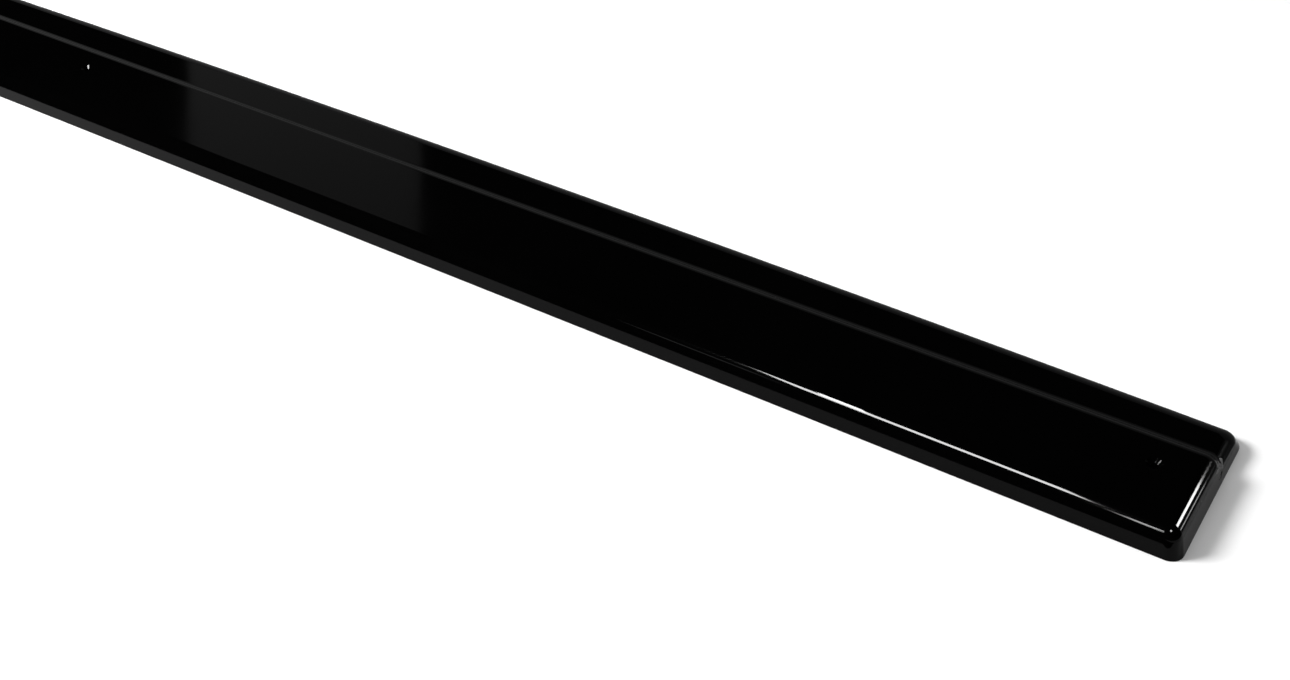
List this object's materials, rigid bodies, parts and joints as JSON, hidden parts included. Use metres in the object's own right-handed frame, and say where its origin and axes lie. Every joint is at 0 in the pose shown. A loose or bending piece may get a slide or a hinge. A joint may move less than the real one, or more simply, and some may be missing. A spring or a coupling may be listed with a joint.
{
  "type": "side skirt extension",
  "caption": "Long shallow stepped plastic shell with a bowed outer edge and countersunk holes, fixed along a car's sill to carry the line of the side skirt outwards.",
  "frame": {"origin": "on the rim's plane, at mid-length and mid-width of the shell", "axes": "+X along the length towards the end shown whole in the picture, +Y from the straight inner edge to the bowed outer edge, +Z out of the broad face"},
  "size_m": [1.8476, 0.1241, 0.019],
  "materials": {
    "gloss_black_abs": "deep gloss black outside, satin inside"
  },
  "bodies": {
    "root": {"skirt_shell": "gloss_black_abs"}
  },
  "joints": []
}
